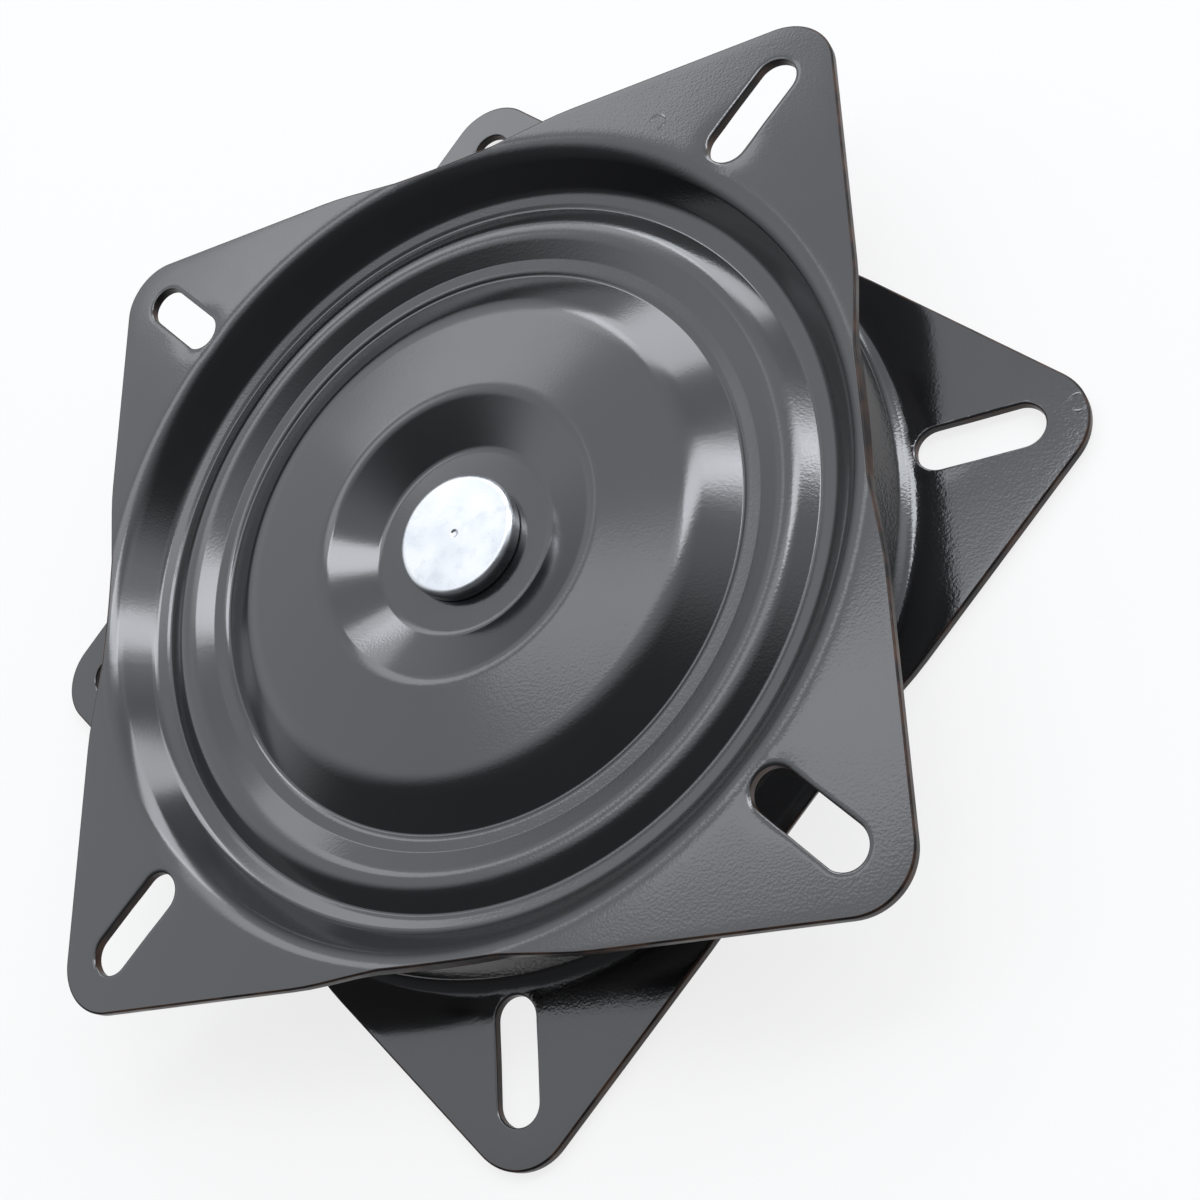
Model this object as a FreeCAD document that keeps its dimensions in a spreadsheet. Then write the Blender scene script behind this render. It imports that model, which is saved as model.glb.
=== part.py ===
import FreeCAD, Part
import math
import os
import Sketcher
from FreeCAD import Placement, Rotation, Vector

# Seat swivel plate: two square pressed steel plates that turn on each other on a ring of
# balls, held together by one big rivet. The upper plate is screwed under the seat, the lower
# one to the base. The origin is on the swivel axis, level with the underside of the lower
# plate's corners, and +Z is up.

doc = FreeCAD.newDocument("seat_swivel_plate")
sheet = doc.addObject("Spreadsheet::Sheet", "sizes")

# Driving sizes in millimetres, counts and degrees. Heights in the pressing are measured from
# the middle plane between the two plates, to the face that looks away from the other plate.
SIZES = [
    ("overall_height", 24.0, "over the corners of both plates"),
    ("plate_side", 155.0, "side of the square plates"),
    ("corner_radius", 10.0, "plan radius of the plates' corners"),
    ("sheet_thickness", 2.0, "steel sheet"),
    ("edge_break", 0.35, "rounding of the punched edges"),
    ("waist_depth", 1.4, "how far each side is drawn in at its middle"),
    ("waist_flat", 11.0, "half length of the drawn-in stretch"),
    ("waist_reach", 25.0, "half length over its run-outs"),
    ("waist_round", 10.0, "radius where the stretch meets a run-out"),
    ("waist_run_round", 60.0, "radius where a run-out meets the side"),
    ("slot_circle_radius", 88.2, "axis to the middle of a fixing slot"),
    ("slot_length", 21.0, "end to end"),
    ("slot_width", 7.6, "across"),
    ("dish_radius", 74.7, "where the flat corners meet the dish wall"),
    ("dish_round", 5.6, "bend there"),
    ("foot_radius", 69.6, "foot of the dish wall"),
    ("foot_height", 4.7, ""),
    ("foot_round", 3.0, ""),
    ("ledge_radius", 67.2, "inner edge of the narrow ledge below the wall"),
    ("ledge_height", 3.9, ""),
    ("ledge_round", 2.5, ""),
    ("outer_groove_radius", 65.9, "groove outside the ball race"),
    ("outer_groove_height", 2.6, ""),
    ("outer_groove_round", 1.0, ""),
    ("shoulder_radius", 55.4, "shoulder inside the ball race"),
    ("shoulder_height", 4.0, ""),
    ("shoulder_round", 4.0, ""),
    ("inner_groove_radius", 52.2, "groove at the foot of the raised land"),
    ("inner_groove_height", 2.1, ""),
    ("inner_groove_round", 1.2, ""),
    ("land_radius", 44.2, "outer edge of the raised flat land"),
    ("land_height", 7.5, ""),
    ("land_round", 6.0, ""),
    ("bowl_radius", 28.0, "rim of the bowl around the rivet"),
    ("bowl_height", 7.6, ""),
    ("bowl_round", 8.0, ""),
    ("boss_radius", 17.2, "flat boss that the rivet clamps"),
    ("boss_height", 3.6, ""),
    ("boss_round", 4.0, ""),
    ("ball_diameter", 6.35, "quarter-inch steel balls"),
    ("ball_circle_radius", 60.9, "axis to the balls' middles"),
    ("ball_count", 24, ""),
    ("ball_play", 0.05, "between a ball and either race"),
    ("cage_width", 9.0, "radial width of the ball cage"),
    ("cage_thickness", 1.2, ""),
    ("pocket_play", 0.15, "between a ball and its pocket"),
    ("shank_diameter", 10.0, "rivet"),
    ("shank_play", 0.08, "radial, between the rivet and what is threaded on it"),
    ("head_diameter", 23.2, "rivet"),
    ("head_thickness", 3.2, ""),
    ("head_rim_round", 1.3, ""),
    ("head_play", 0.1, "between the rivet head and the upper plate"),
    ("centre_mark_diameter", 2.4, "small dent in the middle of the head"),
    ("centre_mark_depth", 0.5, ""),
    ("tail_diameter", 19.0, "formed end of the rivet under the lower plate"),
    ("tail_thickness", 2.6, ""),
    ("tail_rim_round", 1.6, ""),
    ("spacer_diameter", 28.0, "ring between the bosses"),
    ("washer_diameter", 26.0, "thrust washer on the spacer"),
    ("washer_thickness", 0.9, ""),
    ("washer_play", 0.1, "between the thrust washer and the upper boss"),
    ("lower_turn", 45.0, "the lower plate's diagonals lie along X and Y"),
    ("rest_turn", 46.3, "upper plate against the lower one, as pictured"),
]
for row, (alias, value, note) in enumerate(SIZES, start=1):
    sheet.set("A%d" % row, alias)
    sheet.set("B%d" % row, repr(value))
    sheet.set("C%d" % row, note)
    sheet.setAlias("B%d" % row, alias)
doc.recompute()

SIDES = 4               # of a plate, each with a slot on its corner's diagonal
TOUCHING = 1e-6         # below this, two measures are the same
BORE = "sizes.shank_diameter / 2 + sizes.shank_play"


def bind(item, path, formula):
    item.setExpression(path, formula)


def size(alias):
    return float(sheet.get(alias))


def formula_value(formula):
    """What a formula in the sheet's names comes to now, read from a spare cell."""
    sheet.set("E1", "=" + formula.replace("sizes.", ""))
    sheet.recompute()
    return float(sheet.get("E1"))


def place_corner(sketch, name, point, across, up):
    """Hold a sketch point at a distance across and up from the sketch's origin."""
    geometry, end = point
    for axis, formula in (("DistanceX", across), ("DistanceY", up)):
        label = name + ("_across" if axis == "DistanceX" else "_up")
        here = sketch.getPoint(geometry, end)
        now = here.x if axis == "DistanceX" else here.y
        index = sketch.addConstraint(Sketcher.Constraint(axis, -1, 1, geometry, end, now))
        sketch.renameConstraint(index, label)
        bind(sketch, "Constraints." + label, formula)


def hold_radius(sketch, name, arc, formula):
    index = sketch.addConstraint(Sketcher.Constraint("Radius", arc, sketch.Geometry[arc].Radius))
    sketch.renameConstraint(index, name)
    bind(sketch, "Constraints." + name, formula)


def bend_at(before, corner, after, radius):
    """Arc of a bend: its tangent points, its middle and whether it turns left."""
    inward = (before - corner).normalize()
    outward = (after - corner).normalize()
    half = inward.getAngle(outward) / 2
    reach = radius / math.tan(half)
    middle = corner + (inward + outward).normalize() * (radius / math.sin(half))
    left = inward.cross(outward).z < 0
    return corner + inward * reach, corner + outward * reach, middle, left


def arc_between(start, finish, middle, left):
    radius = start.distanceToPoint(middle)
    first, last = (start, finish) if left else (finish, start)
    angles = [math.atan2(p.y - middle.y, p.x - middle.x) for p in (first, last)]
    return Part.ArcOfCircle(Part.Circle(middle, Vector(0, 0, 1), radius), *angles)


def trace_bends(sketch, start, bends, finish):
    """Draw straight runs joined by tangent arcs, and hold each bend by its named sizes.

    start and finish are (name, across, up); a bend is (name, radius) and takes its place from
    name_radius and name_height. The bend called crest is the ball race: its arc has its middle
    on the ball circle, so that the sheet wraps the ball."""
    points = [Vector(*start[1:], 0)]
    radii = []
    for name, radius in bends:
        radii.append(radius)
        if name == "crest":
            points.append(None)
        elif name == "dish":
            points.append(Vector(size("dish_radius"), start[2], 0))
        else:
            points.append(Vector(size(name + "_radius"), size(name + "_height"), 0))
    points.append(Vector(*finish[1:], 0))
    crest = points.index(None)
    points[crest] = race_corner(points[crest - 1], points[crest + 1], radii[crest - 1])

    arcs = []
    run_from = points[0]
    lines = []
    for index, radius in enumerate(radii, start=1):
        touch, leave, middle, left = bend_at(points[index - 1], points[index], points[index + 1], radius)
        lines.append(sketch.addGeometry(Part.LineSegment(run_from, touch)))
        arcs.append((sketch.addGeometry(arc_between(touch, leave, middle, left)), left))
        run_from = leave
    lines.append(sketch.addGeometry(Part.LineSegment(run_from, points[-1])))

    for index, (arc, left) in enumerate(arcs):
        entry, leaving = (1, 2) if left else (2, 1)
        sketch.addConstraint(Sketcher.Constraint("Tangent", lines[index], 2, arc, entry))
        sketch.addConstraint(Sketcher.Constraint("Tangent", arc, leaving, lines[index + 1], 1))
    return lines, arcs, points


def race_corner(before, after, radius):
    """Where the two runs beside the ball race would meet, if they had no bend."""
    middle = Vector(size("ball_circle_radius"), 0, 0)
    bearings = []
    for point, side in ((before, 1), (after, -1)):
        reach = point - middle
        bearings.append(math.atan2(reach.y, reach.x) + side * math.acos(radius / reach.Length))
    half = (bearings[1] - bearings[0]) / 2
    bearing = (bearings[0] + bearings[1]) / 2
    return middle + Vector(math.cos(bearing), math.sin(bearing), 0) * (radius / math.cos(half))


def pressed_section(label):
    """Sketch of the pressed face, from beyond the plate's corner in to the rivet hole."""
    sketch = doc.addObject("Sketcher::SketchObject", label + "_section")
    sketch.Placement = Placement(Vector(), Rotation(Vector(1, 0, 0), 90))
    names = ["dish", "foot", "ledge", "outer_groove", "crest", "shoulder", "inner_groove", "land",
             "bowl", "boss"]
    race_round = size("ball_diameter") / 2 + size("ball_play") + size("sheet_thickness")
    bends = [(name, race_round if name == "crest" else size(name + "_round")) for name in names]
    rim = ("rim", size("plate_side") / math.sqrt(2), size("overall_height") / 2)
    hole = ("hole", size("shank_diameter") / 2 + size("shank_play"), size("boss_height"))
    lines, arcs, points = trace_bends(sketch, rim, bends, hole)

    for index, name in enumerate(names):
        arc = arcs[index][0]
        if name == "crest":
            sketch.addConstraint(Sketcher.Constraint("PointOnObject", arc, 3, -1))
            place = sketch.addConstraint(
                Sketcher.Constraint("DistanceX", -1, 1, arc, 3, size("ball_circle_radius")))
            sketch.renameConstraint(place, "ball_circle")
            bind(sketch, "Constraints.ball_circle", "sizes.ball_circle_radius")
            hold_radius(sketch, "race", arc,
                        "sizes.ball_diameter / 2 + sizes.ball_play + sizes.sheet_thickness")
            continue
        corner = sketch.addGeometry(Part.Point(points[index + 1]), True)
        sketch.addConstraint(Sketcher.Constraint("PointOnObject", corner, 1, lines[index]))
        sketch.addConstraint(Sketcher.Constraint("PointOnObject", corner, 1, lines[index + 1]))
        height = "sizes.overall_height / 2" if name == "dish" else "sizes.%s_height" % name
        place_corner(sketch, name, (corner, 1), "sizes.%s_radius" % name, height)
        hold_radius(sketch, name + "_bend", arc, "sizes.%s_round" % name)
    place_corner(sketch, "rim", (lines[0], 1), "sizes.plate_side / sqrt(2)",
                 "sizes.overall_height / 2")
    place_corner(sketch, "hole", (lines[-1], 2), BORE, "sizes.boss_height")
    return sketch


def origin_item(body, role):
    return next(item for item in body.Origin.OriginFeatures if item.Role == role)


def plan_sketch(body, label, turn=0.0):
    """Empty sketch on the plate's own XY plane, turned about Z."""
    sketch = body.newObject("Sketcher::SketchObject", label)
    sketch.AttachmentSupport = [(origin_item(body, "XY_Plane"), "")]
    sketch.MapMode = "FlatFace"
    sketch.AttachmentOffset = Placement(Vector(), Rotation(Vector(0, 0, 1), turn))
    return sketch


def cut_through(body, sketch, label):
    pocket = body.newObject("PartDesign::Pocket", label)
    pocket.Profile = sketch
    pocket.Type = "ThroughAll"
    pocket.Midplane = True
    body.Tip = pocket
    return pocket


def round_outline(sketch, corners):
    """Closed outline of straight runs and tangent arcs. corners are (name, point, alias of the
    radius, across, up), the last two being the formulas that hold the corner."""
    count = len(corners)
    bends = []
    for index, (name, point, radius, across, up) in enumerate(corners):
        before, after = corners[index - 1][1], corners[(index + 1) % count][1]
        bends.append(bend_at(before, point, after, size(radius)))
    lines = [sketch.addGeometry(Part.LineSegment(bends[index - 1][1], bends[index][0]))
             for index in range(count)]
    arcs = [sketch.addGeometry(arc_between(*bend)) for bend in bends]
    for index, (name, point, radius, across, up) in enumerate(corners):
        entry, leaving = (1, 2) if bends[index][3] else (2, 1)
        after = lines[(index + 1) % count]
        sketch.addConstraint(Sketcher.Constraint("Tangent", lines[index], 2, arcs[index], entry))
        sketch.addConstraint(Sketcher.Constraint("Tangent", arcs[index], leaving, after, 1))
        corner = sketch.addGeometry(Part.Point(point), True)
        sketch.addConstraint(Sketcher.Constraint("PointOnObject", corner, 1, lines[index]))
        sketch.addConstraint(Sketcher.Constraint("PointOnObject", corner, 1, after))
        place_corner(sketch, name, (corner, 1), across, up)
        hold_radius(sketch, name + "_bend", arcs[index], "sizes." + radius)


def turned_pair(side, out, along):
    """Formulas in X and Y for a point that lies out and along on the east side, turned on by
    quarter turns to the side wanted."""
    return [(out, along), ("-(%s)" % along, out), ("-(%s)" % out, "-(%s)" % along),
            (along, "-(%s)" % out)][side]


def outline_waste(body):
    """Everything outside the plate's outline: a rounded square whose sides are drawn in at their
    middles, where the pressing pulled the sheet inwards."""
    sketch = plan_sketch(body, body.Name + "_outline")
    edge = "sizes.plate_side / 2"
    drawn = edge + " - sizes.waist_depth"
    flat, reach = "sizes.waist_flat", "sizes.waist_reach"
    bends = [("run_out_one", edge, "-" + reach, "waist_run_round"),
             ("drawn_one", drawn, "-" + flat, "waist_round"),
             ("drawn_two", drawn, flat, "waist_round"),
             ("run_out_two", edge, reach, "waist_run_round"),
             ("corner", edge, edge, "corner_radius")]
    corners = []
    for side in range(SIDES):
        for name, out, along, radius in bends:
            across, up = turned_pair(side, out, along)
            point = Vector(formula_value(across), formula_value(up), 0)
            corners.append(("%s_%d" % (name, side + 1), point, radius, across, up))
    round_outline(sketch, corners)
    beyond = sketch.addGeometry(Part.Circle(Vector(), Vector(0, 0, 1), size("plate_side")))
    sketch.addConstraint(Sketcher.Constraint("Coincident", beyond, 3, -1, 1))
    hold_radius(sketch, "beyond", beyond, "sizes.plate_side")
    return cut_through(body, sketch, body.Name + "_trimmed")


def slot_waste(body):
    """Fixing slot, on the plate's diagonal."""
    sketch = plan_sketch(body, body.Name + "_slot", 180 / SIDES)
    middle = size("slot_circle_radius")
    half_width = size("slot_width") / 2
    reach = size("slot_length") / 2 - half_width
    ends = [Vector(middle + reach, 0, 0), Vector(middle - reach, 0, 0)]
    up = Vector(0, half_width, 0)
    outer = sketch.addGeometry(arc_between(ends[0] - up, ends[0] + up, ends[0], True))
    top = sketch.addGeometry(Part.LineSegment(ends[0] + up, ends[1] + up))
    inner = sketch.addGeometry(arc_between(ends[1] + up, ends[1] - up, ends[1], True))
    low = sketch.addGeometry(Part.LineSegment(ends[1] - up, ends[0] - up))
    for first, one, second, other in ((outer, 2, top, 1), (top, 2, inner, 1), (inner, 2, low, 1),
                                      (low, 2, outer, 1)):
        sketch.addConstraint(Sketcher.Constraint("Tangent", first, one, second, other))
    sketch.addConstraint(Sketcher.Constraint("PointOnObject", outer, 3, -1))
    sketch.addConstraint(Sketcher.Constraint("PointOnObject", inner, 3, -1))
    hold_radius(sketch, "half_width", outer, "sizes.slot_width / 2")
    for name, arc, sign in (("outer_end", outer, "+"), ("inner_end", inner, "-")):
        here = sketch.getPoint(arc, 3).x
        index = sketch.addConstraint(Sketcher.Constraint("DistanceX", -1, 1, arc, 3, here))
        sketch.renameConstraint(index, name)
        bind(sketch, "Constraints." + name,
             "sizes.slot_circle_radius %s (sizes.slot_length - sizes.slot_width) / 2" % sign)
    return cut_through(body, sketch, body.Name + "_slotted")


def quarter_pattern(body, features):
    pattern = body.newObject("PartDesign::PolarPattern", body.Name + "_quarters")
    pattern.Originals = features
    pattern.Axis = (origin_item(body, "Z_Axis"), [""])
    pattern.Angle = 360
    pattern.Occurrences = SIDES
    body.Tip = pattern
    return pattern


def is_cut_face(face):
    """True for the upright faces that punching left: the outline and the slots."""
    first_u, last_u, first_v, last_v = face.ParameterRange
    normal = face.normalAt((first_u + last_u) / 2, (first_v + last_v) / 2)
    reach = math.hypot(face.CenterOfMass.x, face.CenterOfMass.y)
    return abs(normal.z) < TOUCHING and reach > size("ball_circle_radius")


def cut_arrises(shape):
    """Names of the edges between a punched face and the face above or below it."""
    seen = [edge.hashCode() for face in shape.Faces if is_cut_face(face) for edge in face.Edges]
    return ["Edge%d" % number for number, edge in enumerate(shape.Edges, start=1)
            if seen.count(edge.hashCode()) == 1]


def pressed_plate(label):
    """One plate, in its own frame: sides along X and Y, heights from the middle plane."""
    section = pressed_section(label)
    strip = doc.addObject("Part::Offset2D", label + "_strip")
    strip.Source = section
    strip.Mode = "Skin"
    strip.Join = "Arc"
    strip.Fill = True
    bind(strip, "Value", "sizes.sheet_thickness")
    blank = doc.addObject("Part::Revolution", label + "_blank")
    blank.Source = strip
    blank.Axis = Vector(0, 0, 1)
    blank.Angle = 360
    doc.recompute()
    body = doc.addObject("PartDesign::Body", label)
    body.BaseFeature = blank
    doc.recompute()
    outline_waste(body)
    doc.recompute()
    slot = slot_waste(body)
    doc.recompute()
    quarters = quarter_pattern(body, [slot])
    doc.recompute()
    rounded = body.newObject("PartDesign::Fillet", label + "_arrises")
    rounded.Base = (quarters, cut_arrises(quarters.Shape))
    bind(rounded, "Radius", "sizes.edge_break")
    body.Tip = rounded
    doc.recompute()
    return body


def revolved(label, outline):
    """Turned piece in a body: outline is a list of (name, across, up), the last two being
    formulas. It lies in the XZ plane, is closed by straight edges and is turned about Z."""
    body = doc.addObject("PartDesign::Body", label)
    sketch = body.newObject("Sketcher::SketchObject", label + "_section")
    sketch.AttachmentSupport = [(origin_item(body, "XZ_Plane"), "")]
    sketch.MapMode = "FlatFace"
    corner = {name: Vector(formula_value(across), formula_value(up), 0)
              for name, across, up in outline}
    names = [name for name, across, up in outline]
    edges = [sketch.addGeometry(Part.LineSegment(corner[name], corner[after]))
             for name, after in zip(names, names[1:] + names[:1])]
    for index, (name, across, up) in enumerate(outline):
        sketch.addConstraint(Sketcher.Constraint("Coincident", edges[index - 1], 2, edges[index], 1))
        place_corner(sketch, name, (edges[index], 1), across, up)
    turned = body.newObject("PartDesign::Revolution", label + "_turned")
    turned.Profile = sketch
    turned.ReferenceAxis = (sketch, ["V_Axis"])
    turned.Angle = 360
    body.Tip = turned
    doc.recompute()
    return body


def round_rims(body, label, radius, wanted):
    """Fillet the circular edges for which wanted(edge) holds."""
    base = body.Tip
    fillet = body.newObject("PartDesign::Fillet", label)
    fillet.Base = (base, ["Edge%d" % number for number, edge in enumerate(base.Shape.Edges, start=1)
                          if wanted(edge)])
    bind(fillet, "Radius", radius)
    body.Tip = fillet
    doc.recompute()
    return fillet


def rim_at(radius, height):
    """Test for a circular edge of this radius about the axis, at this height."""
    def wanted(edge):
        return (isinstance(edge.Curve, Part.Circle)
                and abs(edge.Curve.Radius - radius) < TOUCHING
                and abs(edge.CenterOfMass.z - height) < TOUCHING)
    return wanted


def swivel_plates():
    """Both plates are the same pressing. The lower one is turned over."""
    pressing = pressed_plate("pressing")
    plates = [doc.addObject("App::Link", label) for label in ("upper_plate", "lower_plate")]
    for plate in plates:
        plate.LinkedObject = pressing
        bind(plate, "Placement.Base.z", "sizes.overall_height / 2")
    upper, lower = plates
    bind(upper, "Placement.Rotation.Angle", "sizes.lower_turn - sizes.rest_turn")
    lower.Placement.Rotation = Rotation(Vector(1, 0, 0), 180)
    bind(lower, "Placement.Rotation.Axis.x", "cos(sizes.lower_turn * 1 deg / 2)")
    bind(lower, "Placement.Rotation.Axis.y", "sin(sizes.lower_turn * 1 deg / 2)")
    return plates


def centre_rivet():
    """One steel rivet: a wide flat head above, the shank, and the end formed under the lower
    plate, which it grips. The upper plate turns on the shank, under the head."""
    middle = "sizes.overall_height / 2"
    seat = middle + " + sizes.boss_height + sizes.head_play"
    grip = middle + " - sizes.boss_height"
    shank, head, tail = ("sizes.%s_diameter / 2" % name for name in ("shank", "head", "tail"))
    mark = "sizes.centre_mark_diameter / 2"
    top = seat + " + sizes.head_thickness"
    bottom = grip + " - sizes.tail_thickness"
    body = revolved("centre_rivet", [
        ("mark_floor", "0", top + " - sizes.centre_mark_depth"),
        ("tail_middle", "0", bottom),
        ("tail_rim", tail, bottom),
        ("tail_edge", tail, grip),
        ("shank_foot", shank, grip),
        ("shank_top", shank, seat),
        ("head_edge", head, seat),
        ("head_rim", head, top),
        ("mark_rim", mark, top),
    ])
    round_rims(body, "centre_rivet_head_rim", "sizes.head_rim_round",
               rim_at(formula_value(head), formula_value(top)))
    round_rims(body, "centre_rivet_tail_rim", "sizes.tail_rim_round",
               rim_at(formula_value(tail), formula_value(bottom)))
    return body


def ring(label, inner, outer, low, high):
    return revolved(label, [("low_in", inner, low), ("low_out", outer, low),
                            ("high_out", outer, high), ("high_in", inner, high)])


def centre_rings():
    """The steel spacer keeps the bosses apart, so that the rivet can be set hard without
    pinching the balls. The thrust washer lies on it, under the upper plate's boss."""
    floor = "sizes.overall_height / 2 - sizes.boss_height + sizes.sheet_thickness"
    ceiling = "sizes.overall_height / 2 + sizes.boss_height - sizes.sheet_thickness"
    washer_top = ceiling + " - sizes.washer_play"
    washer_low = washer_top + " - sizes.washer_thickness"
    spacer = ring("centre_spacer", BORE, "sizes.spacer_diameter / 2", floor, washer_low)
    washer = ring("thrust_washer", BORE, "sizes.washer_diameter / 2", washer_low, washer_top)
    return [spacer, washer]


def ball_cage():
    """Flat sheet-steel ring at the balls' middles, with a punched pocket for each ball."""
    middle = "sizes.overall_height / 2"
    half = "sizes.cage_thickness / 2"
    inner = "sizes.ball_circle_radius - sizes.cage_width / 2"
    outer = "sizes.ball_circle_radius + sizes.cage_width / 2"
    body = ring("ball_cage", inner, outer, middle + " - " + half, middle + " + " + half)
    sketch = plan_sketch(body, "ball_cage_pocket")
    place = Vector(size("ball_circle_radius"), 0, 0)
    radius = size("ball_diameter") / 2 + size("pocket_play")
    circle = sketch.addGeometry(Part.Circle(place, Vector(0, 0, 1), radius))
    sketch.addConstraint(Sketcher.Constraint("PointOnObject", circle, 3, -1))
    index = sketch.addConstraint(Sketcher.Constraint("DistanceX", -1, 1, circle, 3, place.x))
    sketch.renameConstraint(index, "ball_circle")
    bind(sketch, "Constraints.ball_circle", "sizes.ball_circle_radius")
    hold_radius(sketch, "pocket", circle, "sizes.ball_diameter / 2 + sizes.pocket_play")
    pocket = cut_through(body, sketch, "ball_cage_punched")
    doc.recompute()
    pattern = body.newObject("PartDesign::PolarPattern", "ball_cage_pockets")
    pattern.Originals = [pocket]
    pattern.Axis = (origin_item(body, "Z_Axis"), [""])
    pattern.Angle = 360
    bind(pattern, "Occurrences", "sizes.ball_count")
    body.Tip = pattern
    return body


def race_balls():
    """One steel ball for each pocket, evenly round the ball circle."""
    balls = []
    for number in range(int(size("ball_count"))):
        ball = doc.addObject("Part::Sphere", "ball_%02d" % (number + 1))
        bind(ball, "Radius", "sizes.ball_diameter / 2")
        bearing = "%d * 360 deg / sizes.ball_count" % number
        bind(ball, "Placement.Base.x", "sizes.ball_circle_radius * cos(%s)" % bearing)
        bind(ball, "Placement.Base.y", "sizes.ball_circle_radius * sin(%s)" % bearing)
        bind(ball, "Placement.Base.z", "sizes.overall_height / 2")
        balls.append(ball)
    return balls


pieces = [*swivel_plates(), centre_rivet(), *centre_rings(), ball_cage(), *race_balls()]
doc.recompute()

for item in doc.Objects:
    if "Invalid" in item.State or "Error" in item.State:
        raise RuntimeError("%s failed: %s" % (item.Name, item.getStatusString()))
for piece in pieces:
    piece.Label = piece.Name
    if piece.Shape.isNull() or not piece.Shape.isValid() or len(piece.Shape.Solids) != 1:
        raise RuntimeError(piece.Label + " is not one valid solid")

os.makedirs("parts", exist_ok=True)
for piece in pieces:
    piece.Shape.exportStep(os.path.join("parts", piece.Label + ".step"))
    box = piece.Shape.optimalBoundingBox()
    print("%-14s %9.1f mm3  z %6.2f to %6.2f" % (piece.Label, piece.Shape.Volume, box.ZMin, box.ZMax))
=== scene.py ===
import cmath
import math

import bmesh
import bpy
from mathutils import Matrix, Vector


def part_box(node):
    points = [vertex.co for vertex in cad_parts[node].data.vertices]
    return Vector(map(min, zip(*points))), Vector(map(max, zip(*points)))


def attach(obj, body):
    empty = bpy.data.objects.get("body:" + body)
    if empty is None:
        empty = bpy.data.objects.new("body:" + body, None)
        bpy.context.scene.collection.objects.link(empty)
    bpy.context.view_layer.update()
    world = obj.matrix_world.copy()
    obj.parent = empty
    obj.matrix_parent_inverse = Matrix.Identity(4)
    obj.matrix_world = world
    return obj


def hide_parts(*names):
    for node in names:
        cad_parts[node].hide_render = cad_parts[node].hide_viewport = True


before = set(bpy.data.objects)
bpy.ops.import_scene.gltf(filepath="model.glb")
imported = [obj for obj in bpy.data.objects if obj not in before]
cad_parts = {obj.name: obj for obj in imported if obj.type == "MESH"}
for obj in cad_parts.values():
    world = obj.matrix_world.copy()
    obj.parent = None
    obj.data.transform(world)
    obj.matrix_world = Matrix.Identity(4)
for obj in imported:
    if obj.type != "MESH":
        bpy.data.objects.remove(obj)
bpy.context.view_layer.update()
bpy.ops.object.select_all(action="DESELECT")

# Upper and lower plate: two copies of one pressing in 2 mm steel sheet, enamelled black. The square
# blank has its four slots punched, and the press then draws the dish, the ball race and the boss
# out of it, which pulls the sides in at their middles. The lower plate is turned over.
MM = 0.001
SHEET = 2 * MM
PLATE_SIDE, CORNER_RADIUS = 155 * MM, 10 * MM
MIDDLE_PLANE = (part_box("lower_plate")[0][2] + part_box("upper_plate")[1][2]) / 2
CORNER_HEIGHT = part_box("upper_plate")[1][2] - MIDDLE_PLANE
RACE_CIRCLE, RACE_ROUND = 61.4 * MM, 3.35 * MM + SHEET
HOLE_RADIUS = 5.08 * MM
# Radius from the axis, height over the middle plane and bend radius of the pressed face, in mm.
OUTSIDE_RACE = [(74.7, CORNER_HEIGHT / MM, 5.6), (69.5, 4.65, 2.5), (67.3, 4.0, 2.3), (66.4, 3.6, 0.8)]
INSIDE_RACE = [(56.0, 3.4, 0.8), (53.7, 3.15, 2.2), (52.9, 2.7, 0.6), (45.0, 6.5, 12.0),
               (27.7, 7.95, 6.0), (17.6, 3.6, 3.5)]
# Outline of one side, as distances out from the axis and along the side, with the bend radius.
WAIST_DEPTH, WAIST_FLAT, WAIST_REACH = 1.4 * MM, 11 * MM, 25 * MM
WAIST_BEND, WAIST_END_BEND = 10 * MM, 60 * MM
SIDE_CORNERS = [
    (complex(PLATE_SIDE / 2, -WAIST_REACH), WAIST_END_BEND),
    (complex(PLATE_SIDE / 2 - WAIST_DEPTH, -WAIST_FLAT), WAIST_BEND),
    (complex(PLATE_SIDE / 2 - WAIST_DEPTH, WAIST_FLAT), WAIST_BEND),
    (complex(PLATE_SIDE / 2, WAIST_REACH), WAIST_END_BEND),
    (complex(PLATE_SIDE / 2, PLATE_SIDE / 2), CORNER_RADIUS),
]
SLOT_CIRCLE, SLOT_LENGTH, SLOT_WIDTH = 88.2 * MM, 21 * MM, 7.6 * MM
EDGE_BREAK, SHARP_EDGE = 0.35 * MM, math.radians(50)
ROLL_OVER_WIDTH, ROLL_OVER_DEPTH = 1.1 * MM, 0.3 * MM
# How far the draw pulled the flat down: beside the slots' inner ends, and inside a crease.
SLOT_DIP, SLOT_DIP_REACH = 0.12 * MM, 2.0 * MM
CREASE_AT_SLOT, CREASE_WIDENING, CREASE_CURVE = 79.5 * MM, 9 * MM, 1.5
SAG_BEND, SAG_FADE_START, SAG_FADE_WIDTH = 300 * MM, 70 * MM, 6 * MM
# How closely the mesh follows the pressing. Its rings are round up to a radius on the dish wall,
# and change from there to the blank's outline, further and further apart.
PROFILE_STEP, OUTLINE_STEP, EDGE_SPACING = math.radians(6), math.radians(4.5), 1.5 * MM
ROUND_RINGS_END, OUTER_RINGS, RING_SPREAD = 73.1 * MM, 18, 2.4
# Points nearer than this are merged, and the slots' roll-over starts this far above the face.
MERGE_DISTANCE, CUT_CLEARANCE = 0.001 * MM, 0.004 * MM
# How far each plate is turned about the axis.
UPPER_TURN, LOWER_TURN = math.radians(-1.3), math.radians(45)


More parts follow.
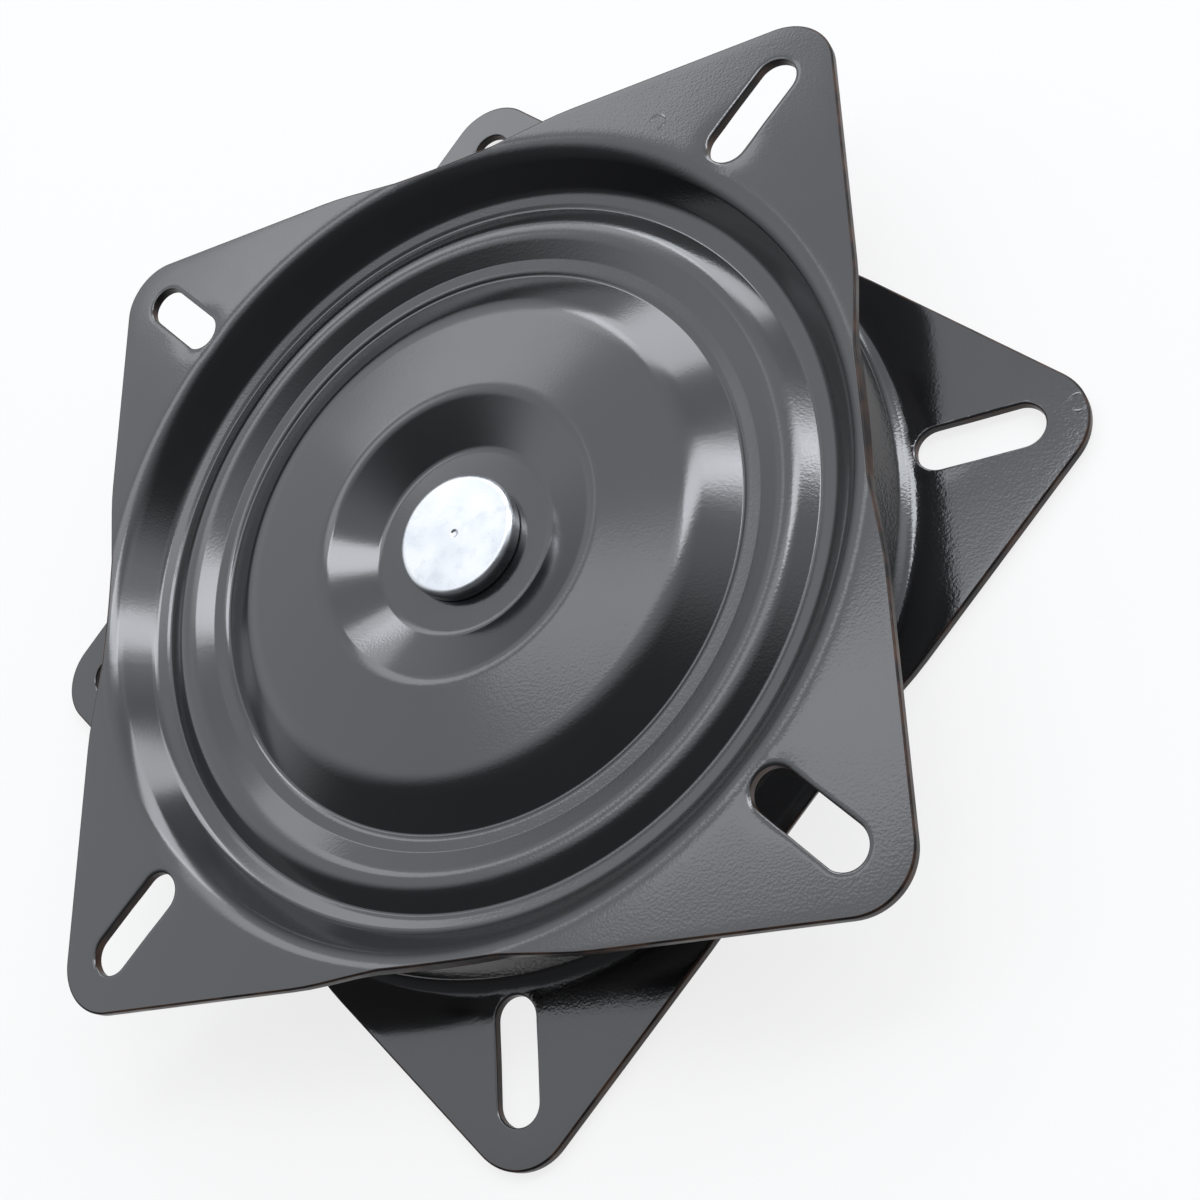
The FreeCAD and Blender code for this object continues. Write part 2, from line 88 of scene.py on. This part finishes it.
def rounded(corners, step):
    """Points of a line through these corners, each (place, bend radius), with its bends as
    arcs. Places are complex numbers: across, and up as the imaginary part."""
    line = [corners[0][0]]
    for (before, _), (corner, radius), (after, _) in zip(corners, corners[1:], corners[2:]):
        heading = (corner - before) / abs(corner - before)
        turn = cmath.phase((after - corner) / heading)
        start = corner - heading * radius * math.tan(abs(turn) / 2)
        middle = start + heading * 1j * math.copysign(radius, turn)
        steps = max(1, math.ceil(abs(turn) / step))
        line += [middle + (start - middle) * cmath.exp(1j * turn * i / steps) for i in range(steps + 1)]
    line.append(corners[-1][0])
    return line


def race_corner(before, after):
    """Where the sheet's straight runs beside the race would meet, if they had no bend."""
    bearings = [cmath.phase(place - RACE_CIRCLE) + side * math.acos(RACE_ROUND / abs(place - RACE_CIRCLE))
                for place, side in ((before, 1), (after, -1))]
    half = (bearings[1] - bearings[0]) / 2
    return RACE_CIRCLE + cmath.rect(RACE_ROUND / math.cos(half), sum(bearings) / 2)


def pressed_profile(step):
    """The outer face from the hole to beyond the corners, as radius and height."""
    outside = [(complex(r, up) * MM, bend * MM) for r, up, bend in OUTSIDE_RACE]
    inside = [(complex(r, up) * MM, bend * MM) for r, up, bend in INSIDE_RACE]
    race = (race_corner(outside[-1][0], inside[0][0]), RACE_ROUND)
    beyond = (complex(PLATE_SIDE, CORNER_HEIGHT), 0)
    hole = (complex(HOLE_RADIUS, inside[-1][0].imag), 0)
    return rounded([beyond, *outside, race, *inside, hole], step)[::-1]


FINE_PROFILE = pressed_profile(math.radians(1))


def face_height(radius):
    """Height of the pressed face at this distance from the axis."""
    for inner, outer in zip(FINE_PROFILE, FINE_PROFILE[1:]):
        if inner.real <= radius <= outer.real:
            share = (radius - inner.real) / (outer.real - inner.real)
            return inner.imag + share * (outer.imag - inner.imag)
    return CORNER_HEIGHT


def blank_outline():
    """The blank's outline, anticlockwise, with points at most EDGE_SPACING apart."""
    corners = [(place * 1j ** side, bend) for side in range(4) for place, bend in SIDE_CORNERS]
    line = rounded([corners[-1], *corners, corners[0]], OUTLINE_STEP)[1:-1]
    points = []
    for place, after in zip(line, line[1:] + line[:1]):
        steps = math.ceil(abs(after - place) / EDGE_SPACING)
        points += [place + (after - place) * i / steps for i in range(steps)]
    return points


def slot_dip(place):
    """How far the sheet is pulled down beside the inner end of the nearest slot."""
    along = abs(place) * cmath.exp(1j * (cmath.phase(place) % (math.pi / 2) - math.pi / 4))
    inner_end = SLOT_CIRCLE - (SLOT_LENGTH - SLOT_WIDTH) / 2
    away = max(0, abs(along - inner_end) - SLOT_WIDTH / 2) / SLOT_DIP_REACH
    return SLOT_DIP * math.exp(-away ** 2)


def drawn_in(place):
    """How far the flat sags towards the dish, inside a crease that starts at the slots' inner
    ends. The draw pulled further out between them, up to the sides' middles."""
    off_diagonal = abs(cmath.phase(place) % (math.pi / 2) - math.pi / 4) / (math.pi / 4)
    crease = CREASE_AT_SLOT + CREASE_WIDENING * off_diagonal ** CREASE_CURVE
    return max(0, crease - abs(place)) ** 2 / (2 * SAG_BEND)


def sinking(place):
    """Both together, fading out down the dish wall."""
    fade = min(1, max(0, (abs(place) - SAG_FADE_START) / SAG_FADE_WIDTH))
    return (slot_dip(place) + drawn_in(place)) * fade


def rolled(name, rings):
    """A grid rolled up into a tube: each ring of points becomes one row of it."""
    bpy.ops.mesh.primitive_grid_add(x_subdivisions=len(rings[0]), y_subdivisions=len(rings) - 1)
    piece = bpy.context.object
    piece.name = name
    across = len(rings[0]) + 1
    for vertex in piece.data.vertices:
        row, column = divmod(vertex.index, across)
        vertex.co = rings[row][column % len(rings[0])]
    bpy.ops.object.mode_set(mode="EDIT")
    bpy.ops.mesh.select_all(action="SELECT")
    bpy.ops.mesh.remove_doubles(threshold=MERGE_DISTANCE)
    bpy.ops.mesh.normals_make_consistent(inside=False)
    bpy.ops.object.mode_set(mode="OBJECT")
    return piece


def press_blank():
    """Rings from the hole along the pressed profile, and from the dish wall to the outline."""
    rows = [place for place in pressed_profile(PROFILE_STEP) if place.real < ROUND_RINGS_END]
    outline = blank_outline()
    rings = [[(cmath.rect(row.real, cmath.phase(edge)), row.imag) for edge in outline] for row in rows]
    for step in range(1, OUTER_RINGS + 1):
        share = (step / OUTER_RINGS) ** RING_SPREAD
        radii = [rows[-1].real + share * (abs(edge) - rows[-1].real) for edge in outline]
        rings.append([(cmath.rect(radius, cmath.phase(edge)), face_height(radius))
                      for radius, edge in zip(radii, outline)])
    return rolled("pressing", [[(place.real, place.imag, height - sinking(place))
                                for place, height in ring] for ring in rings])


def apply_modifier(piece, kind, **settings):
    """Finish the piece with a modifier of this kind."""
    modifier = piece.modifiers.new(kind.lower(), kind)
    for name, value in settings.items():
        setattr(modifier, name, value)
    bpy.context.view_layer.objects.active = piece
    bpy.ops.object.modifier_apply(modifier=modifier.name)


def break_outline(sheet):
    """Round the arrises that punching left round the blank, where the paint is thin."""
    bpy.ops.object.mode_set(mode="EDIT")
    bpy.ops.mesh.select_all(action="DESELECT")
    mesh = bmesh.from_edit_mesh(sheet.data)
    for edge in mesh.edges:
        outer = all(math.hypot(*vertex.co.xy) > PLATE_SIDE / 2 - 2 * WAIST_DEPTH for vertex in edge.verts)
        if outer and len(edge.link_faces) == 2 and edge.calc_face_angle() > SHARP_EDGE:
            edge.select_set(True)
    bmesh.update_edit_mesh(sheet.data)
    bpy.ops.mesh.bevel(offset=EDGE_BREAK, segments=3, affect="EDGES", material=1)
    bpy.ops.object.mode_set(mode="OBJECT")


def slot_ring(out, height):
    """Points round a slot on the first diagonal, this far from the slot's middle line."""
    pull, bend_steps, side_steps = (SLOT_LENGTH - SLOT_WIDTH) / 2, 20, 16
    line = []
    for side in (1, -1):
        line += [side * (pull + out * cmath.exp(1j * math.pi * (i / bend_steps - 0.5)))
                 for i in range(bend_steps)]
        line += [side * (pull - 2 * pull * i / side_steps + out * 1j) for i in range(side_steps)]
    places = [(SLOT_CIRCLE + place) * cmath.exp(1j * math.pi / 4) for place in line]
    return [(place.real, place.imag, height - sinking(place)) for place in places]


def punch_slots(sheet):
    """Cut the four slots. The punch rolled the sheet over a little where it went in."""
    half_width = SLOT_WIDTH / 2
    low, high = CORNER_HEIGHT - SHEET, CORNER_HEIGHT + CUT_CLEARANCE
    bends = [math.radians(a) for a in range(0, 91, 15)]
    under = [(half_width + EDGE_BREAK * (1 - math.cos(a)), low + EDGE_BREAK * (1 - math.sin(a)))
             for a in bends[::-2]]
    over = [(half_width + ROLL_OVER_WIDTH * (1 - math.cos(a)), high - ROLL_OVER_DEPTH * (1 - math.sin(a)))
            for a in bends]
    section = [(0, low - SHEET), (under[0][0], low - SHEET), *under, *over,
               (over[-1][0], high + SHEET), (0, high + SHEET)]
    cutter = rolled("slot_punch", [slot_ring(out, height) for out, height in section])
    for material in sheet.data.materials:
        cutter.data.materials.append(material)
    for face in cutter.data.polygons:
        face.material_index = int(abs(face.normal.z) < math.cos(SHARP_EDGE))
    bpy.ops.object.select_all(action="DESELECT")
    cutter.select_set(True)
    for quarter in range(1, 4):
        copy = bpy.data.objects.new("slot_punch", cutter.data.copy())
        copy.data.transform(Matrix.Rotation(math.radians(90 * quarter), 4, "Z"))
        bpy.context.collection.objects.link(copy)
        copy.select_set(True)
    bpy.context.view_layer.objects.active = cutter
    bpy.ops.object.join()
    apply_modifier(sheet, "BOOLEAN", operation="DIFFERENCE", solver="EXACT", object=cutter)
    bpy.data.objects.remove(cutter)


def shade(piece, angle):
    """Smooth all but the sharper edges, with the large faces leading the small ones."""
    bpy.ops.object.select_all(action="DESELECT")
    piece.select_set(True)
    bpy.context.view_layer.objects.active = piece
    bpy.ops.object.shade_smooth_by_angle(angle=math.radians(angle), keep_sharp_edges=False)
    apply_modifier(piece, "WEIGHTED_NORMAL", keep_sharp=True, weight=80)


def new_finish(name):
    """A new material, with its nodes and its shader."""
    material = bpy.data.materials.new(name)
    material.use_nodes = True
    return material, material.node_tree, material.node_tree.nodes["Principled BSDF"]


def noise(tree, scale, detail, between=(0, 1), to=(0, 1)):
    """Soft noise at places on the piece, stretched from between the first two values to the
    other two."""
    place = tree.nodes.new("ShaderNodeTexCoord").outputs["Object"]
    texture = tree.nodes.new("ShaderNodeTexNoise")
    texture.inputs["Scale"].default_value = scale
    texture.inputs["Detail"].default_value = detail
    tree.links.new(place, texture.inputs["Vector"])
    stretch = tree.nodes.new("ShaderNodeMapRange")
    for socket, value in zip(("From Min", "From Max", "To Min", "To Max"), (*between, *to)):
        stretch.inputs[socket].default_value = value
    tree.links.new(texture.outputs["Fac"], stretch.inputs["Value"])
    return stretch.outputs["Result"]


def clouded(tree, first, second, **clouds):
    """Two colours that change over in clouds of noise."""
    mix = tree.nodes.new("ShaderNodeMix")
    mix.data_type = "RGBA"
    mix.inputs["A"].default_value = (*first, 1)
    mix.inputs["B"].default_value = (*second, 1)
    tree.links.new(noise(tree, **clouds), mix.inputs["Factor"])
    return mix.outputs["Result"]


def bumped(tree, height, distance, strength=None, under=None):
    """A bump of this height in metres, over another one where there is one."""
    bump = tree.nodes.new("ShaderNodeBump")
    bump.inputs["Distance"].default_value = distance
    tree.links.new(height, bump.inputs["Height"])
    if strength:
        tree.links.new(strength, bump.inputs["Strength"])
    if under:
        tree.links.new(under, bump.inputs["Normal"])
    return bump.outputs["Normal"]


def math_node(tree, operation, *values):
    """The result of one operation on numbers or on other nodes' results."""
    node = tree.nodes.new("ShaderNodeMath")
    node.operation = operation
    for socket, value in zip(node.inputs, values):
        if isinstance(value, (int, float)):
            socket.default_value = value
        else:
            tree.links.new(value, socket)
    return node.outputs[0]


# Middles of two curls of thread that dried into the paint, on the upper and the lower plate.
CURLS = [Vector((46.4, 66.1, 24.0)) * MM, Vector((103.9, 1.3, 2.0)) * MM]
CURL_RADIUS, CURL_THREAD, CURL_HEIGHT = 1.5 * MM, 0.3 * MM, 0.06 * MM


def curl(tree, middle):
    """1 on a hair-thin broken ring round this place, and 0 elsewhere."""
    place = tree.nodes.new("ShaderNodeTexCoord").outputs["Object"]
    away = tree.nodes.new("ShaderNodeVectorMath")
    away.operation = "DISTANCE"
    away.inputs[1].default_value = middle
    tree.links.new(place, away.inputs[0])
    off = math_node(tree, "ABSOLUTE", math_node(tree, "SUBTRACT", away.outputs["Value"], CURL_RADIUS))
    ring = tree.nodes.new("ShaderNodeMapRange")
    ring.interpolation_type = "SMOOTHSTEP"
    for socket, value in (("From Min", 0.0), ("From Max", CURL_THREAD), ("To Min", 1.0), ("To Max", 0.0)):
        ring.inputs[socket].default_value = value
    tree.links.new(off, ring.inputs["Value"])
    breaks = noise(tree, scale=420, detail=0, between=(0.45, 0.55))
    return math_node(tree, "MULTIPLY", ring.outputs["Result"], breaks)


# Heights of the enamel's gentle waves and of its orange peel, which is deeper on the lower plate.
WAVE_HEIGHT = 0.05 * MM
UPPER_PEEL, LOWER_PEEL = 0.018 * MM, 0.030 * MM


def black_enamel(name, peel_depth):
    """Thick glossy black enamel, with an orange peel that is stronger in some places."""
    material, tree, shader = new_finish(name)
    tint = clouded(tree, (0.0075, 0.008, 0.009), (0.0105, 0.0105, 0.011),
                   scale=22, detail=3, between=(0.35, 0.65))
    tree.links.new(tint, shader.inputs["Base Color"])
    waves = noise(tree, scale=45, detail=1)
    patches = noise(tree, scale=13, detail=1.5, between=(0.40, 0.66), to=(0.2, 1.0))
    peel = noise(tree, scale=2200, detail=1)
    curls = math_node(tree, "MAXIMUM", *[curl(tree, middle) for middle in CURLS])
    surface = bumped(tree, waves, WAVE_HEIGHT)
    surface = bumped(tree, peel, peel_depth, strength=patches, under=surface)
    surface = bumped(tree, curls, CURL_HEIGHT, under=surface)
    tree.links.new(surface, shader.inputs["Normal"])
    gloss = noise(tree, scale=30, detail=3, between=(0.3, 0.7), to=(0.1, 0.17))
    tree.links.new(gloss, shader.inputs["Roughness"])
    shader.inputs["Specular IOR Level"].default_value = 1.0
    return material


def edge_enamel():
    """The same enamel where it ran thin on the punched edges, and the steel shows through brown."""
    material, tree, shader = new_finish("edge_enamel")
    tint = clouded(tree, (0.010, 0.007, 0.006), (0.065, 0.032, 0.019),
                   scale=240, detail=3, between=(0.40, 0.68))
    tree.links.new(tint, shader.inputs["Base Color"])
    gloss = noise(tree, scale=160, detail=3, between=(0.3, 0.7), to=(0.3, 0.45))
    tree.links.new(gloss, shader.inputs["Roughness"])
    grain = bumped(tree, noise(tree, scale=900, detail=2), 0.03 * MM)
    tree.links.new(grain, shader.inputs["Normal"])
    shader.inputs["Specular IOR Level"].default_value = 0.2
    return material


pressing = press_blank()
upper_enamel = black_enamel("upper_enamel", UPPER_PEEL)
lower_enamel = black_enamel("lower_enamel", LOWER_PEEL)
pressing.data.materials.append(upper_enamel)
pressing.data.materials.append(edge_enamel())
apply_modifier(pressing, "SOLIDIFY", thickness=SHEET, offset=-1, use_even_offset=True,
               use_quality_normals=True, material_offset_rim=1)
break_outline(pressing)
punch_slots(pressing)
shade(pressing, 40)
face_up = Matrix.Rotation(UPPER_TURN, 4, "Z")
face_down = Matrix.Rotation(LOWER_TURN, 4, "Z") @ Matrix.Rotation(math.pi, 4, "X")
for name, node, body, turn, enamel in (
        ("upper_pressing", "upper_plate", "seat_side", face_up, upper_enamel),
        ("lower_pressing", "lower_plate", "base", face_down, lower_enamel)):
    plate = bpy.data.objects.new(name, pressing.data.copy())
    bpy.context.collection.objects.link(plate)
    plate.data.transform(Matrix.Translation((0, 0, MIDDLE_PLANE)) @ turn)
    plate.data.materials[0] = enamel
    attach(plate, body)
    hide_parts(node)
bpy.data.objects.remove(pressing)

# Rivet: turned and headed steel, plated with bright zinc. Its wide head, with a centre mark, is
# above the upper plate, which turns on the shank. Its tail was formed against the lower plate.
HEAD_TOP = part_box("centre_rivet")[1][2]
TAIL_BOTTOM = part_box("centre_rivet")[0][2]
HEAD_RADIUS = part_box("centre_rivet")[1][0]
HEAD_THICKNESS, HEAD_CROWN = 3.2 * MM, 0.12 * MM
MARK_RADIUS, MARK_DEPTH = 0.8 * MM, 0.25 * MM
SHANK_RADIUS = 5 * MM
TAIL_RADIUS, TAIL_THICKNESS = 9.5 * MM, 2.6 * MM
TURNED_STEP = math.radians(9)


def turned(name, corners, columns):
    """A solid turned from a line of corners, each (radius and height, bend radius)."""
    line = rounded(corners, TURNED_STEP)
    ring = [cmath.exp(2j * math.pi * i / columns) for i in range(columns)]
    return rolled(name, [[(turn.real * place.real, turn.imag * place.real, place.imag)
                          for turn in ring] for place in line])


def bright_zinc():
    """Bright zinc plate: a light metal with a cloudy blue-white film."""
    material, tree, shader = new_finish("bright_zinc")
    film = clouded(tree, (0.53, 0.55, 0.57), (0.65, 0.66, 0.66),
                   scale=160, detail=3, between=(0.35, 0.65))
    tree.links.new(film, shader.inputs["Base Color"])
    shader.inputs["Metallic"].default_value = 1
    gloss = noise(tree, scale=320, detail=2, between=(0.3, 0.7), to=(0.22, 0.38))
    tree.links.new(gloss, shader.inputs["Roughness"])
    grain = bumped(tree, noise(tree, scale=700, detail=2), 0.02 * MM)
    tree.links.new(grain, shader.inputs["Normal"])
    return material


under_head = HEAD_TOP - HEAD_THICKNESS
over_tail = TAIL_BOTTOM + TAIL_THICKNESS
rivet = turned("rivet", [
    (complex(0, TAIL_BOTTOM), 0),
    (complex(TAIL_RADIUS, TAIL_BOTTOM), 1.6 * MM),
    (complex(TAIL_RADIUS, over_tail), 0.3 * MM),
    (complex(SHANK_RADIUS, over_tail), 0.2 * MM),
    (complex(SHANK_RADIUS, under_head), 0.2 * MM),
    (complex(HEAD_RADIUS, under_head), 0.4 * MM),
    (complex(HEAD_RADIUS, HEAD_TOP - HEAD_CROWN), 1.2 * MM),
    (complex(MARK_RADIUS, HEAD_TOP), 0.5 * MM),
    (complex(MARK_RADIUS / 2, HEAD_TOP - MARK_DEPTH), 0.4 * MM),
    (complex(0, HEAD_TOP - MARK_DEPTH), 0),
], columns=120)
shade(rivet, 50)
rivet.data.materials.append(bright_zinc())
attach(rivet, "base")
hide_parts("centre_rivet")


# Spacer and ball cage: plain greased steel, the one turned and the other punched from sheet.
# The spacer is threaded on the rivet between the bosses, and the cage lies in the race.
def greased_steel():
    """Plain steel, patched with brown grease."""
    material, tree, shader = new_finish("greased_steel")
    grease = clouded(tree, (0.46, 0.45, 0.44), (0.30, 0.26, 0.20),
                     scale=90, detail=4, between=(0.4, 0.65))
    tree.links.new(grease, shader.inputs["Base Color"])
    shader.inputs["Metallic"].default_value = 1
    gloss = noise(tree, scale=260, detail=3, between=(0.3, 0.7), to=(0.2, 0.45))
    tree.links.new(gloss, shader.inputs["Roughness"])
    grain = bumped(tree, noise(tree, scale=900, detail=3), 0.02 * MM)
    tree.links.new(grain, shader.inputs["Normal"])
    return material


def finish_node(name, material):
    """Give a piece of the frame this finish."""
    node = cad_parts[name]
    node.data.materials.clear()
    node.data.materials.append(material)


greased = greased_steel()
finish_node("centre_spacer", greased)
finish_node("ball_cage", greased)


# Thrust washer: stamped from natural nylon sheet. It lies on the spacer, round the rivet, and
# the upper plate's boss turns on it.
def natural_nylon():
    """Milky nylon, a little yellower in clouds."""
    material, tree, shader = new_finish("natural_nylon")
    cloud = clouded(tree, (0.80, 0.77, 0.68), (0.70, 0.65, 0.52),
                    scale=120, detail=3, between=(0.35, 0.65))
    tree.links.new(cloud, shader.inputs["Base Color"])
    gloss = noise(tree, scale=500, detail=2, between=(0.3, 0.7), to=(0.4, 0.55))
    tree.links.new(gloss, shader.inputs["Roughness"])
    shader.inputs["Subsurface Weight"].default_value = 0.1
    shader.inputs["Subsurface Scale"].default_value = 0.5 * MM
    return material


finish_node("thrust_washer", natural_nylon())


# Balls: 24 quarter-inch balls of polished bearing steel, one in each pocket of the cage. They
# roll between the two plates' races, in grease.
def ball_steel():
    """Polished steel, with faint smears of grease."""
    material, tree, shader = new_finish("ball_steel")
    shader.inputs["Base Color"].default_value = (0.70, 0.71, 0.73, 1)
    shader.inputs["Metallic"].default_value = 1
    gloss = noise(tree, scale=600, detail=3, between=(0.35, 0.65), to=(0.05, 0.16))
    tree.links.new(gloss, shader.inputs["Roughness"])
    return material


polished = ball_steel()
for number in range(1, 25):
    finish_node("ball_%02d" % number, polished)

# Camera: the photograph's viewpoint, above the near right side and a little turned, with its
# frame shifted a little sideways.
camera_data = bpy.data.cameras.new("camera")
camera = bpy.data.objects.new("camera", camera_data)
bpy.context.collection.objects.link(camera)
camera.location = (0.13997, -0.13435, 0.24776)
camera.rotation_euler = [math.radians(a) for a in (23.492, 30.437, -1.677)]
camera_data.lens = 51.35
camera_data.sensor_width = 36
camera_data.shift_x = 0.0833
camera_data.clip_start = 0.01
bpy.context.scene.camera = camera

# Floor: matt white, just under the lower plate. It shows nearly white to the camera and in
# reflections, so that only a faint shadow of the object is left on it.
FLOOR_SIDE, FLOOR_GAP = 6, 0.4 * MM
WHITE_SHARE = 0.8


def mix_shaders(tree, share, first, second, output):
    """Show the second shader by this share and the first one by the rest."""
    mix = tree.nodes.new("ShaderNodeMixShader")
    for socket, value in zip(mix.inputs, (share, first.outputs[0], second.outputs[0])):
        tree.links.new(value, socket)
    tree.links.new(mix.outputs[0], output.inputs["Surface"])


bpy.ops.mesh.primitive_plane_add(size=FLOOR_SIDE, location=(0, 0, -FLOOR_GAP))
floor = bpy.context.object
floor.name = "floor"
white, tree, matt = new_finish("white_floor")
matt.inputs["Base Color"].default_value = (0.85, 0.85, 0.85, 1)
matt.inputs["Roughness"].default_value = 0.9
glow = tree.nodes.new("ShaderNodeEmission")
glow.inputs["Strength"].default_value = 1
ray = tree.nodes.new("ShaderNodeLightPath").outputs
seen = math_node(tree, "MAXIMUM", ray["Is Camera Ray"], ray["Is Glossy Ray"])
seen = math_node(tree, "MAXIMUM", seen, ray["Is Transmission Ray"])
share = math_node(tree, "MULTIPLY", seen, WHITE_SHARE)
mix_shaders(tree, share, matt, glow, tree.nodes["Material Output"])
floor.data.materials.append(white)

# Light: a pale tent that is open and dark on its near side, with five strip lamps in it, all of a
# slightly cool daylight. The tent is a little brighter behind the object and beside the side
# lamp, and darker near the floor.
LAMP_DISTANCE = 1.5
TENT_LEVEL, OPEN_LEVEL = 0.9, 0.12
DAYLIGHT = (0.97, 1.0, 1.06)


def bearing(azimuth, elevation):
    """Direction from the plates, by its angle round from +X and its angle up, in degrees."""
    a, e = math.radians(azimuth), math.radians(elevation)
    return Vector((math.cos(a) * math.cos(e), math.sin(a) * math.cos(e), math.sin(e)))


def strip_lamp(name, start, finish, width, radiance):
    """Long lamp from one bearing to another, as seen from the plates, and so many degrees wide."""
    start, finish = bearing(*start), bearing(*finish)
    middle, along = (start + finish).normalized(), (finish - start).normalized()
    lamp = bpy.data.lights.new(name, "AREA")
    lamp.shape = "RECTANGLE"
    lamp.size = 2 * LAMP_DISTANCE * math.tan(start.angle(finish) / 2)
    lamp.size_y = 2 * LAMP_DISTANCE * math.tan(math.radians(width) / 2)
    lamp.energy = radiance * lamp.size * lamp.size_y * math.pi
    lamp.color = DAYLIGHT
    strip = bpy.data.objects.new(name, lamp)
    bpy.context.collection.objects.link(strip)
    turn = Matrix((along, middle.cross(along), middle)).transposed()
    strip.matrix_world = Matrix.Translation(middle * LAMP_DISTANCE) @ turn.to_4x4()


strip_lamp("side_strip", (25, 14), (41, 50), width=10.5, radiance=5.0)
strip_lamp("bend_strip", (44, 47), (85, 70), width=10.5, radiance=5.5)
strip_lamp("top_strip", (78, 70), (148, 59), width=10.5, radiance=1.3)
strip_lamp("corner_strip", (57, 12), (98, 38), width=19, radiance=3.4)
strip_lamp("arch_strip", (92, 33), (136, 42), width=13, radiance=1.4)


def facing(tree, toward, edges, levels):
    """A level that changes smoothly between two angles from a bearing."""
    direction = tree.nodes.new("ShaderNodeTexCoord").outputs["Generated"]
    dot = tree.nodes.new("ShaderNodeVectorMath")
    dot.operation = "DOT_PRODUCT"
    dot.inputs[1].default_value = toward
    tree.links.new(direction, dot.inputs[0])
    level = tree.nodes.new("ShaderNodeMapRange")
    level.interpolation_type = "SMOOTHSTEP"
    cosines = [math.cos(math.radians(angle)) for angle in edges]
    for socket, value in zip(("From Min", "From Max", "To Min", "To Max"), (*cosines, *levels)):
        level.inputs[socket].default_value = value
    tree.links.new(dot.outputs["Value"], level.inputs["Value"])
    return level.outputs["Result"]


world = bpy.data.worlds.new("tent")
bpy.context.scene.world = world
world.use_nodes = True
tree = world.node_tree
tent = tree.nodes["Background"]
near_side, behind = bearing(273, 0), bearing(150, 45)
beside_lamp, straight_up = bearing(20, 28), bearing(0, 90)
level = facing(tree, near_side, (80, 100), (OPEN_LEVEL, TENT_LEVEL))
for toward, edges, levels in (
        (behind, (60, 20), (1.0, 1.4)),
        (beside_lamp, (30, 8), (1.0, 1.7)),
        (straight_up, (95, 60), (0.25, 1.0))):
    level = math_node(tree, "MULTIPLY", level, facing(tree, toward, edges, levels))
tree.links.new(level, tent.inputs["Strength"])
tent.inputs["Color"].default_value = (*DAYLIGHT, 1)
plain = tree.nodes.new("ShaderNodeBackground")
plain.inputs["Color"].default_value = (1, 1, 1, 1)
camera_ray = tree.nodes.new("ShaderNodeLightPath").outputs["Is Camera Ray"]
mix_shaders(tree, camera_ray, tent, plain, tree.nodes["World Output"])
bpy.context.scene.view_settings.view_transform = "Standard"
